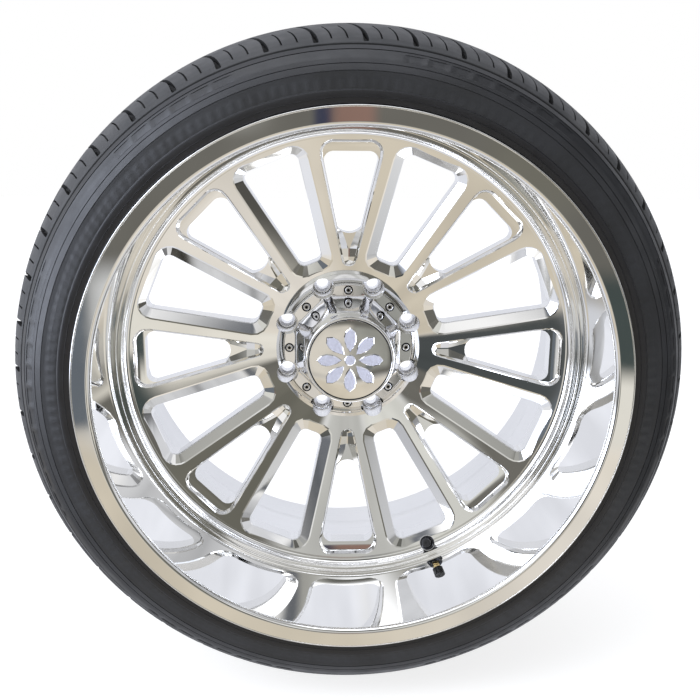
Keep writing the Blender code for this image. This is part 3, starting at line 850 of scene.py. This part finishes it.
def tread_row_profile(depth, drop, kind, rear):
    """Angles and radii right round the wheel at a row, the walls of its cuts included."""
    base = float(np.interp(depth, CROWN_DEPTHS, CROWN_RADII)) - drop
    pitch_run = TREAD_PITCH * base
    shares, radii = [0], [base]
    for centre, width, deep in tread_cuts(depth, kind):
        at = centre * pitch_run
        for offset, down in (
            (-width / 2 - GROOVE_WALL, 0), (-width / 2, 1),
            (width / 2, 1), (width / 2 + GROOVE_WALL, 0),
        ):
            shares.append((at + offset) / pitch_run)
            radii.append(base - deep * down)
        gap = 0.32 if centre < 0.7 else 0.2
        for k in (1, 2):
            shares.append(centre + gap * k / 3)
            radii.append(base)
    shift = groove_shift(depth) / base
    if rear:
        shift = -shift + 2 * groove_shift(HALF_WIDTH) / base
    angles = np.array(shares) * TREAD_PITCH + shift
    turns = (np.arange(TREAD_SECTORS)[:, None] * TREAD_PITCH + angles[None, :]).reshape(-1)
    return turns, np.tile(np.array(radii), TREAD_SECTORS)


def build_tread():
    half = [(depth, drop, kind) for kind, drop, depths in TREAD_ROWS for depth in depths]
    rows = [wheel_points(*tread_row_profile(*row, False), row[0]) for row in half]
    for row in reversed(half[:-1]):
        rows.append(wheel_points(*tread_row_profile(*row, True), WIDTH - row[0]))
    inner = [(d, r - TREAD_THICKNESS) for d, r in zip(CAD_CROWN_DEPTHS, CAD_CROWN_RADII)]
    inner[0] = (37.3, inner[0][1])
    edge_angles, _ = tread_row_profile(*half[0], False)
    for depth, radius in reversed(mirror_rows(inner)):
        rows.append(wheel_points(edge_angles, radius, depth))
    points = np.concatenate(rows)
    faces = grid_faces(len(rows), rows[0].shape[0])
    radii = np.hypot(points[:, 0], points[:, 2]) / MM
    crown = np.interp(HALF_WIDTH - np.abs(points[:, 1] / MM), CROWN_DEPTHS, CROWN_RADII)
    sunk = (crown - radii)[faces].max(1)
    # Faces sunk more than GROOVE_BED below the crown take the second material, the painted shade of
    # the grooves.
    mesh = mesh_from("tread", points, faces, (sunk > GROOVE_BED).astype(int))
    add_piece("tread", mesh, [TREAD, GROOVE_SHADE], 32, "tread_band")


SIDE_SEGMENTS = 720
SERRATIONS = 180
SERRATION_HEIGHT = 0.55
BLOCK_HEIGHT = 0.8
SMOOTH, SERRATED, PANEL = range(3)
SIDE_DEPTHS = (10.6, 12, 20, 28, 33.4)
SIDE_RADII = (351.2, 358, 371, 379.5, 383.4)
# Runs of blank raised blocks, as clock degrees.
PANELS = ((8, 40), (66, 104), (128, 166), (192, 222), (246, 294), (316, 340))


def side_depth(radius):
    return float(np.interp(radius, SIDE_RADII, SIDE_DEPTHS))


def ring_groove(radius, deep, width):
    """Fine groove running round the sidewall, as (depth, radius) rows."""
    depth = side_depth(radius)
    slope = side_depth(radius + 1) - side_depth(radius - 1)
    return [
        (depth + slope / 2 * width * share + deep * sunk, radius + width * share)
        for share, sunk in ((-0.5, 0), (-0.3, 1), (0.3, 1), (0.5, 0))
    ]


def sidewall_rows():
    """(depth, radius, relief) rows of the outboard sidewall, bead toe to tread edge."""
    bead = [
        (35.5, 305.8), (17, 305.4), (15, 306), (13.6, 307.6), (13.25, 309),
        (13.2, 318.6), (10.6, 320.6), (7.4, 322.7), (6.2, 323.4), (5.7, 324.2), (5.45, 326),
        (5.3, 328.8), (5.25, 329.6), (4.75, 329.9), (4.75, 330.5), (5.2, 330.8), (5.15, 333),
        (5.2, 335.6), (5.5, 336.8), (6.2, 337.4), (7.3, 337.8),
    ]
    band = [(7.6 + 3 * k / 6, 338.4 + 12.6 * k / 6) for k in range(7)]
    wall = [(side_depth(353.5), 353.5)]
    wall += ring_groove(357, 0.8, 0.8) + [(side_depth(361), 361)]
    wall += ring_groove(364.6, 0.8, 0.8) + [(side_depth(368.3), 368.3)]
    blocks = [(side_depth(r), r) for r in (368.8, 371, 374, 376.2)]
    edge = [(side_depth(376.7), 376.7), *ring_groove(379.2, 1, 0.9), (side_depth(380.6), 380.6)]
    edge += [
        (32.2, 382.6), (34, 383.9), (34.4, 383.9), (35, 381.4), (36.5, 381.4), (36.7, 384)
    ]
    runs = (
        (bead + band[:1], SMOOTH), (band[1:-1], SERRATED), (band[-1:] + wall, SMOOTH),
        (blocks, PANEL), (edge, SMOOTH),
    )
    return [(*row, relief) for rows, relief in runs for row in rows]


def casing_rows():
    """Outer surface of the casing, from the bead toe to the middle of the crown."""
    under = 9.3
    low = under + 4
    crown = [
        (36.7, cad_crown(37) - under), (54, cad_crown(54) - under),
        (56.7, cad_crown(56.7) - under), (56.7, cad_crown(56.7) - low),
        *((d, r - low) for d, r in zip(CAD_CROWN_DEPTHS[2:], CAD_CROWN_RADII[2:])),
    ]
    return sidewall_rows() + [(*row, SMOOTH) for row in crown]


def build_casing():
    liner = 21.3
    inner = [
        (35, 308.5, 0), (22, 308.5, 0), (22, 317.5, 0), (34, 317.5, 0), (22, 330, 0),
        (30, 358, 0), (56, 376, 0), (95, 408.2 - liner, 0), (190.5, 414.8 - liner, 0),
    ]
    rows = mirror_rows(casing_rows()) + list(reversed(mirror_rows(inner)))
    angles = circle_angles(SIDE_SEGMENTS)
    phase = (angles * SERRATIONS / TAU) % 1
    teeth = SERRATION_HEIGHT * (1 - np.abs(phase * 2 - 1))
    blocks = np.zeros(SIDE_SEGMENTS)
    for start, end in PANELS:
        inside = (np.degrees(angles) - start) % 360 < end - start
        blocks[inside] = -BLOCK_HEIGHT * (np.arange(SIDE_SEGMENTS)[inside] % 8 < 6)
    relief = {SMOOTH: 0, SERRATED: teeth, PANEL: blocks}
    rings = []
    for depth, radius, kind in rows:
        sign = 1 if depth > HALF_WIDTH else -1
        rings.append(wheel_points(angles, radius, depth + sign * relief[kind]))
    faces = grid_faces(len(rings), SIDE_SEGMENTS)
    mesh = mesh_from("sidewalls", np.concatenate(rings), faces)
    add_piece("sidewalls", mesh, [SIDEWALL], 14, "tyre_casing")


# ---- centre cap

CAP_FLANGE_RADIUS = 87
SCALLOP_RADIUS = 15.8
EMBLEM_BASE, EMBLEM_TOP = 154.7, 153.2


def cap_angles():
    """Samples round the cap, closer across the scallops, with one on each scallop corner."""
    half = SECTOR / 2
    squares = CAP_FLANGE_RADIUS**2 + STUD_CIRCLE**2 - SCALLOP_RADIUS**2
    corner = half - math.acos(squares / (2 * CAP_FLANGE_RADIUS * STUD_CIRCLE))
    near = [corner * k / 6 for k in range(6)]
    near += [corner + (half - corner) * k / 9 for k in range(10)]
    angles = []
    for i in range(SECTORS):
        angles += [SECTOR * i + a for a in near]
        angles += [SECTOR * (i + 1) - a for a in reversed(near[1:-1])]
    return np.array(angles)


CAP_ANGLES = cap_angles()


def stud_bite(outside):
    """A radius at each sample round the cap, cut back to the scallops round the studs."""
    from_stud = (CAP_ANGLES % SECTOR) - SECTOR / 2
    sine = STUD_CIRCLE * np.sin(from_stud)
    chord = np.sqrt(np.maximum(SCALLOP_RADIUS**2 - sine**2, 0))
    bite = STUD_CIRCLE * np.cos(from_stud) - chord
    return np.where(np.abs(sine) < SCALLOP_RADIUS, np.minimum(outside, bite), outside)


def flatted(radius, share):
    """Blend from a circle to eight flats facing the cap screws."""
    from_tab = ((CAP_ANGLES + SECTOR / 2) % SECTOR) - SECTOR / 2
    return radius + (stud_bite(radius / np.cos(from_tab)) - radius) * share


def cap_body_rings():
    flange = ((225.7, 86.6), (225.3, 87), (220.7, 87), (220.2, 86.7), (220, 86.1))
    rows = [(depth, stud_bite(radius)) for depth, radius in flange]
    rows += [(220, flatted(72.4, 1)), (219.6, flatted(71.1, 1))]
    for k in range(9):
        t = k / 8
        rows.append((218.6 - 52 * t, flatted(70.4 - 9.6 * t**0.8, (1 - t) ** 0.7)))
    rows += [
        (165.4, 60.3), (164.6, 60), (158, 58.6), (156, 58), (155.2, 57.6), (154.7, 56.9),
        (154.5, 56.2), (154.6, 54.9), (154.8, 54.5), (160.3, 54.4), (160.3, 47), (200, 54),
        (240, 54), (240, 60), (234.5, 60), (234.5, 58.2), (231, 58.2), (231, 60),
        (225.7, 60),
    ]
    return [wheel_points(CAP_ANGLES, radii, depth) for depth, radii in rows]


def build_cap_body():
    mesh = stack_mesh("cap_body_fine", cap_body_rings(), closed=True)
    obj = add_object("cap_body_fine", mesh, [CAP_POLISH, RECESS_SHADE])
    profile = [(205, 6.3), (222.2, 6.3), (222.2, 3.3), (230, 3.3)]
    # The counterbores' walls and floors and the holes below them take the second material, the
    # painted shade of the recesses.
    cutters = [bore_mesh(SECTOR * i, SCREW_CIRCLE, profile, 40, 1) for i in range(SECTORS)]
    subtract(obj, [cutters])
    shade(obj.data, 22)
    # Keeps the broad faces flat and lets the narrow ones beside them bend.
    modifier = obj.modifiers.new("weighted", "WEIGHTED_NORMAL")
    modifier.mode = "FACE_AREA"
    modifier.weight = 100
    modifier.keep_sharp = True
    attach(obj, "cap_body")


def build_cap_front():
    segments = 192
    plate = [
        (160, 52.4), (159.6, 53), (155.3, 53), (155.05, 52.8), (155, 52.4),
        (155, 20), (155, 2),
    ]
    rings = [wheel_points(circle_angles(segments), r, d) for d, r in plate]
    mesh = stack_mesh("cap_face_plate", rings)
    add_piece("cap_face_plate", mesh, [POLISH], 25, "cap_plate")
    outline, _ = round_path(
        [(160, 53.2, 0.1), (160, 54.2, 0.1), (155.3, 54.2, 0.3), (155.3, 53.2, 0.3)]
    )
    mesh = lathe_mesh("cap_seal_ring", outline, segments)
    add_piece("cap_seal_ring", mesh, [SEAL], 40, "cap_gasket")


def raised_shape(points, bevel):
    """Bevelled raised plate on the cap's face, from an outline of (x, z) points."""
    outline = np.array(points, float)
    centre = outline.mean(0)
    span = np.linalg.norm(outline - centre, axis=1, keepdims=True)
    inner = centre + (outline - centre) * (1 - bevel / span)
    levels = (outline, EMBLEM_BASE), (outline, EMBLEM_TOP + bevel * 0.6), (inner, EMBLEM_TOP)
    rings = [
        [Vector((x, depth - HALF_WIDTH, z)) * MM for x, z in plan] for plan, depth in levels
    ]
    return stack_mesh("shape", rings, slots=[1] * 2 * len(outline) + [0, 0])


def build_emblem():
    """Plain eight-petal rosette with a hub dot."""
    shapes = []
    petal = [(10.5, 0), (17, 4.6), (24, 7.4), (31, 8.2), (38, 6.2), (43.5, 0)]
    petal += [(r, -a) for r, a in reversed(petal[1:-1])]
    for i in range(SECTORS):
        sine, cosine = math.sin(SECTOR * i), math.cos(SECTOR * i)
        points = [(r * sine + a * cosine, r * cosine - a * sine) for r, a in petal]
        shapes.append(raised_shape(points, 1.1))
    dot = [(7.2 * math.sin(TAU * k / 32), 7.2 * math.cos(TAU * k / 32)) for k in range(32)]
    shapes.append(raised_shape(dot, 0.8))
    mesh = join_meshes("rosette", shapes)
    add_piece("rosette", mesh, [EMBLEM, EMBLEM_EDGE], 12, "cap_emblem")


def hex_radius(angles, across_flats, limit):
    sector = ((angles + math.pi / 6) % (math.pi / 3)) - math.pi / 6
    return np.minimum(across_flats / 2 / np.cos(sector), limit)


def build_screws():
    segments = 48
    head = [
        (240, 2.6), (239.4, 3), (221.9, 3), (221.9, 4.6), (221.6, 4.7), (220.1, 4.7),
        (219.5, 4.6), (219, 4.2), (218.75, 3.6), (218.7, 3),
    ]
    socket = ((218.75, 4.2), (219.1, 3.7), (221, 3.7))
    for i in range(SECTORS):
        spun = circle_angles(segments) + 0.4 + 1.7 * i
        rows = [(depth, [radius] * segments) for depth, radius in head]
        rows += [(depth, hex_radius(spun, flats, 9)) for depth, flats in socket]
        rings = [ring_on_circle(SECTOR * i, SCREW_CIRCLE, radii, depth) for depth, radii in rows]
        # The socket's deep wall and floor take the second material, painted shade in the socket.
        sides = [0] * segments * (len(head) + 1) + [1] * segments + [0, 1]
        name = f"socket_screw_{i + 1}"
        mesh = stack_mesh(name, rings, slots=sides)
        add_piece(name, mesh, [SCREW, RECESS_SHADE], 30, f"cap_screw_{i + 1}")


# ---- valve

THREAD_TOP, THREAD_PITCH, THREAD_HEIGHT = 21.8, 0.8, 0.3
NUT_ACROSS_FLATS = 15.4


def thread_shape(angles, radius, z):
    phase = (z / THREAD_PITCH + angles / TAU) % 1
    threaded = radius >= 3 and 0 <= z <= THREAD_TOP
    return radius - THREAD_HEIGHT * np.abs(phase * 2 - 1) * threaded


def nut_shape(angles, radius, z):
    hexagon = hex_radius(angles + math.radians(15), NUT_ACROSS_FLATS, radius)
    return np.where(radius < 5, radius, hexagon)


def knurl_shape(angles, radius, z):
    knurled = radius >= 5.5 and 16 <= z <= 26.6
    return radius - 0.28 * (1 - np.abs(np.cos(angles * 14))) * knurled


def valve_piece(
    name, profile, material, slot, node, segments=64, shape=None, sharp_degrees=30, body="wheel"
):
    """Ring-shaped piece on the valve's own axis, from (radius, height above the seat) points."""
    mesh = stack_mesh(name, local_rings(profile, segments, shape), closed=True)
    mesh.transform(valve_matrix())
    face_out(mesh)
    add_piece(name, mesh, [material], sharp_degrees, node, body)


def build_valve():
    washer = [
        (4.35, 0.35), (9.6, 0.35), (9.8, 0.6), (9.8, 1.7), (9.2, 2.2), (4.8, 2.4), (4.35, 2.1)
    ]
    nut = [(4.35, 2.9), (7.9, 2.7), (8.9, 3.2), (8.9, 7.2), (7.9, 8.4), (5.4, 8.5), (4.35, 8.1)]
    corners = [(4.4, -32, 0.4), (8, -32, 0.8), (8, -29.1, 0.8), (4.4, -29.1, 0.4)]
    stem = [
        (7.6, -35.4), (8, -35), (8, -32.7), (7.7, -32.3), (4, -32.3),
        *((4, z) for z in np.arange(-31.5, 13.6, 0.35)),
        *((3.85, z) for z in np.arange(13.9, 21.9, 0.2)),
        (3.4, 22.3), (2.9, 22.5), (2.6, 22.2), (2.6, 1), (1.5, -1), (1.5, -35.4),
    ]
    cap = [
        (4.4, 15.2), (5.6, 15.2), (6, 15.6), (6, 16.2), (6, 16.6), (6, 26.2), (6, 26.7),
        (5.7, 27.2), (5, 27.6), (4, 27.75), (1, 27.75), (1, 26.9), (4, 26.6), (4.4, 26.2),
    ]
    dark = ANODISED, "black_hardware"
    valve_piece("valve_collar", washer, *dark, "valve_washer")
    valve_piece("valve_hex_nut", nut, *dark, "valve_nut", 96, nut_shape)
    seal = round_path(corners)[0]
    valve_piece("valve_inner_seal", seal, SEAL, "seal_rubber", "valve_grommet")
    brass = BRASS, "valve_brass"
    valve_piece("valve_threaded_stem", stem, *brass, "valve_stem", 64, thread_shape, 50)
    black = PLASTIC, "black_plastic"
    valve_piece("valve_dust_cap", cap, *black, "valve_cap", 168, knurl_shape, body="cap_shell")


def dress_nodes():
    """Materials for the hidden nodes that keep their CAD shape."""
    looks = {
        "belt_package": CORD, "bead_core_outboard": CORD, "bead_core_inboard": CORD,
        "cap_o_ring": SEAL, "valve_core_body": BRASS, "valve_pin": BRASS,
        "valve_core_spring": CORD, "valve_cap_seal": SEAL,
    }
    for node, material in looks.items():
        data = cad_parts[node].data
        data.materials.clear()
        data.materials.append(material)


# ---- studio

def soft_box(tree, azimuth, elevation, box, feather):
    """Soft-edged mask over a patch of directions; box is its limits in degrees."""
    low_az, high_az, low_el, high_el = (math.radians(v) for v in box)
    soft = math.radians(feather)
    mask = None
    for value, low, high in ((azimuth, low_az, high_az), (elevation, low_el, high_el)):
        for edge, rise in ((low, soft), (high, -soft)):
            side = smoothstep(tree, value, edge - rise, edge + rise)
            mask = side if mask is None else maths(tree, "MULTIPLY", mask, side)
    return mask


# The room that the polish reflects. A patch is (azimuth and elevation limits, feather, tone), in
# degrees. Azimuth is 0 straight out of the wheel's face and positive to its +X side; elevation is
# above the horizon. A later patch covers the earlier ones.
CARPET = (0.64, 0.58, 0.475)
PALE_CARPET = (0.8, 0.755, 0.69)
DIM_WALL = (0.16, 0.17, 0.19)
BEHIND_WHEEL = (0.84, 0.86, 0.93)
ROOM = [
    ((-180, 180, -90, -19), 2, CARPET),
    ((10, 40, -90, -19), 9, PALE_CARPET),
    ((-180, 180, -90, -46), 4, (0.8, 0.81, 0.86)),
    ((-180, 180, -90, -61), 3, (0.5, 0.505, 0.53)),
    ((-60, 70, -19, 4), 1.2, (0.15, 0.145, 0.13)),
    ((-13, -8, -20.5, -10), 1.2, (0.72, 0.73, 0.74)),
    ((-27, -15.6, -19.5, -7), 1, (0.07, 0.078, 0.08)),
    ((-15.8, -13.2, -19, -7), 0.5, (0.14, 0.16, 0.185)),
    ((-17, -3, -1, 22), 1.6, (0.72, 0.72, 0.68)),
    ((-3, 10, 3, 22), 2, (0.52, 0.52, 0.5)),
    ((14, 22.5, -15.7, -10), 0.8, (0.06, 0.076, 0.074)),
    ((18, 50, -20, -15.7), 0.8, (0.72, 0.7, 0.64)),
    ((22.5, 50, -20, -11), 1.4, (0.78, 0.75, 0.68)),
    ((11, 45, -6, 14), 1.6, (0.16, 0.155, 0.13)),
    ((0.6, 1.7, -5, 3), 0.3, (0.05, 0.055, 0.09)),
    ((1.7, 4.2, -5, 3), 0.5, (0.27, 0.17, 0.14)),
    ((-8, 3.2, -19, -7.5), 1, (0.66, 0.62, 0.55)),
    ((3.2, 12, -17, -8), 1, (0.33, 0.33, 0.3)),
    ((4.3, 6.6, -17, -15.2), 0.6, (0.14, 0.155, 0.16)),
    ((-100, -38, -46, -17), 4, (0.66, 0.68, 0.74)),
    ((42, 110, -46, -17), 4, (0.62, 0.63, 0.65)),
    ((-98, -42, -12, 46), 4, (4.2, 4.5, 5.2)),
    ((38, 72, -2, 55), 4, (0.6, 0.61, 0.64)),
    ((-34, 34, 26, 62), 5, (0.42, 0.42, 0.4)),
    ((-9, 13, 36, 60), 4, (0.13, 0.13, 0.12)),
    ((-90, 60, 62, 90), 5, (2.2, 2.25, 2.4)),
    ((82, 112, -40, 70), 5, (0.03, 0.034, 0.042)),
    ((118, 180, -90, 90), 4, BEHIND_WHEEL),
    ((-180, -118, -90, 90), 4, BEHIND_WHEEL),
    ((-36, -31, 6, 60), 2, DIM_WALL),
    ((30, 35, 12, 60), 2, DIM_WALL),
]
PLAIN_WALL = (0.92, 0.92, 0.93)
SIDE_LIMITS = (34, 112)


def build_world():
    """Room of soft patches, broken up strongly to the sides and slightly elsewhere."""
    world = bpy.data.worlds.new("studio")
    bpy.context.scene.world = world
    world.use_nodes = True
    tree = world.node_tree
    tree.nodes.clear()
    coords = add_node(tree, "TexCoord", {}).outputs["Generated"]
    x, y, z = add_node(tree, "SeparateXYZ", {0: coords}).outputs
    azimuth = maths(tree, "ARCTAN2", x, maths(tree, "MULTIPLY", y, -1))
    elevation = maths(tree, "ARCSINE", z)
    colour = PLAIN_WALL
    for box, feather, tone in ROOM:
        colour = mix_colour(tree, soft_box(tree, azimuth, elevation, box, feather), colour, tone)
    clutter = noise_ramp(tree, coords, 3.4, 2.5, (0.36, 0.3), (0.5, 1), (0.64, 1.25))
    drift = noise_ramp(tree, coords, 8, 2, (0.36, 0.9), (0.64, 1.08))
    turned_away = maths(tree, "ABSOLUTE", azimuth)
    near, far = (math.radians(limit) for limit in SIDE_LIMITS)
    aside = maths(tree, "GREATER_THAN", turned_away, near)
    ahead = maths(tree, "LESS_THAN", turned_away, far)
    clutter = mix_colour(tree, maths(tree, "MULTIPLY", aside, ahead), drift, clutter)
    colour = mix_colour(tree, 1, colour, clutter, "MULTIPLY")
    seen = add_node(tree, "LightPath", {}).outputs["Is Camera Ray"]
    colour = mix_colour(tree, seen, colour, (1, 1, 1))
    background = add_node(tree, "Background", {"Color": colour, "Strength": 1})
    add_node(tree, "OutputWorld", {0: background.outputs[0]})


FLOOR_SIZE, FLOOR_HEIGHT = 6, -0.4149


def build_floor():
    """Pale floor, partly self-lit to the camera and left out of reflections."""
    mesh = bpy.data.meshes.new("floor")
    signs = ((-1, -1), (1, -1), (1, 1), (-1, 1))
    corners = [(x * FLOOR_SIZE, y * FLOOR_SIZE, FLOOR_HEIGHT) for x, y in signs]
    mesh.from_pydata(corners, [], [(0, 1, 2, 3)])
    material, tree, shader = shader_parts("pale_floor", 0, 0.9)
    coat(tree, shader, noise_ramp(tree, object_coords(tree), 1.5, 2, (0.3, 0.94), (0.7, 0.96)))
    shader.inputs["Specular IOR Level"].default_value = 0
    glow = add_node(tree, "Emission", {"Strength": 1.25})
    seen = add_node(tree, "LightPath", {}).outputs["Is Camera Ray"]
    share = maths(tree, "MULTIPLY", seen, 0.64)
    blend = add_node(tree, "MixShader", {0: share, 1: shader.outputs[0], 2: glow.outputs[0]})
    tree.links.new(blend.outputs[0], tree.nodes["Material Output"].inputs["Surface"])
    floor = add_object("floor", mesh, [material])
    floor.visible_glossy = False


def build_light():
    """Soft key light to the upper left, left out of reflections."""
    light = bpy.data.lights.new("key", "AREA")
    light.shape = "RECTANGLE"
    light.size, light.size_y = 1.4, 1.4
    light.energy = 26
    key = link_object("key", light)
    key.location = (-1.6, -1.4, 1.9)
    key.rotation_mode = "QUATERNION"
    key.rotation_quaternion = Vector(key.location).to_track_quat("Z", "Y")
    key.visible_glossy = False
    key.visible_camera = False


def build_camera():
    """Slightly left of the wheel and above it, looking a little down."""
    azimuth, elevation, roll = (math.radians(v) for v in (-2.826, 14.967, 0.545))
    level = math.cos(elevation)
    back = Vector((math.sin(azimuth) * level, -math.cos(azimuth) * level, math.sin(elevation)))
    right = (-back).cross(Vector((0, 0, 1))).normalized()
    up = right.cross(-back)
    turned_right = right * math.cos(roll) + up * math.sin(roll)
    turned_up = up * math.cos(roll) - right * math.sin(roll)
    data = bpy.data.cameras.new("camera")
    data.lens = 48.46
    data.sensor_width = 36
    camera = link_object("camera", data)
    matrix = Matrix((turned_right, turned_up, back)).transposed().to_4x4()
    matrix.translation = Vector((-0.0583, -1.2117, 0.3284))
    camera.matrix_world = matrix
    bpy.context.scene.camera = camera


build_forging()
build_tread()
build_casing()
build_cap_body()
build_cap_front()
build_emblem()
build_screws()
build_valve()
dress_nodes()
build_world()
build_floor()
build_light()
build_camera()
bpy.context.scene.view_settings.view_transform = "Standard"
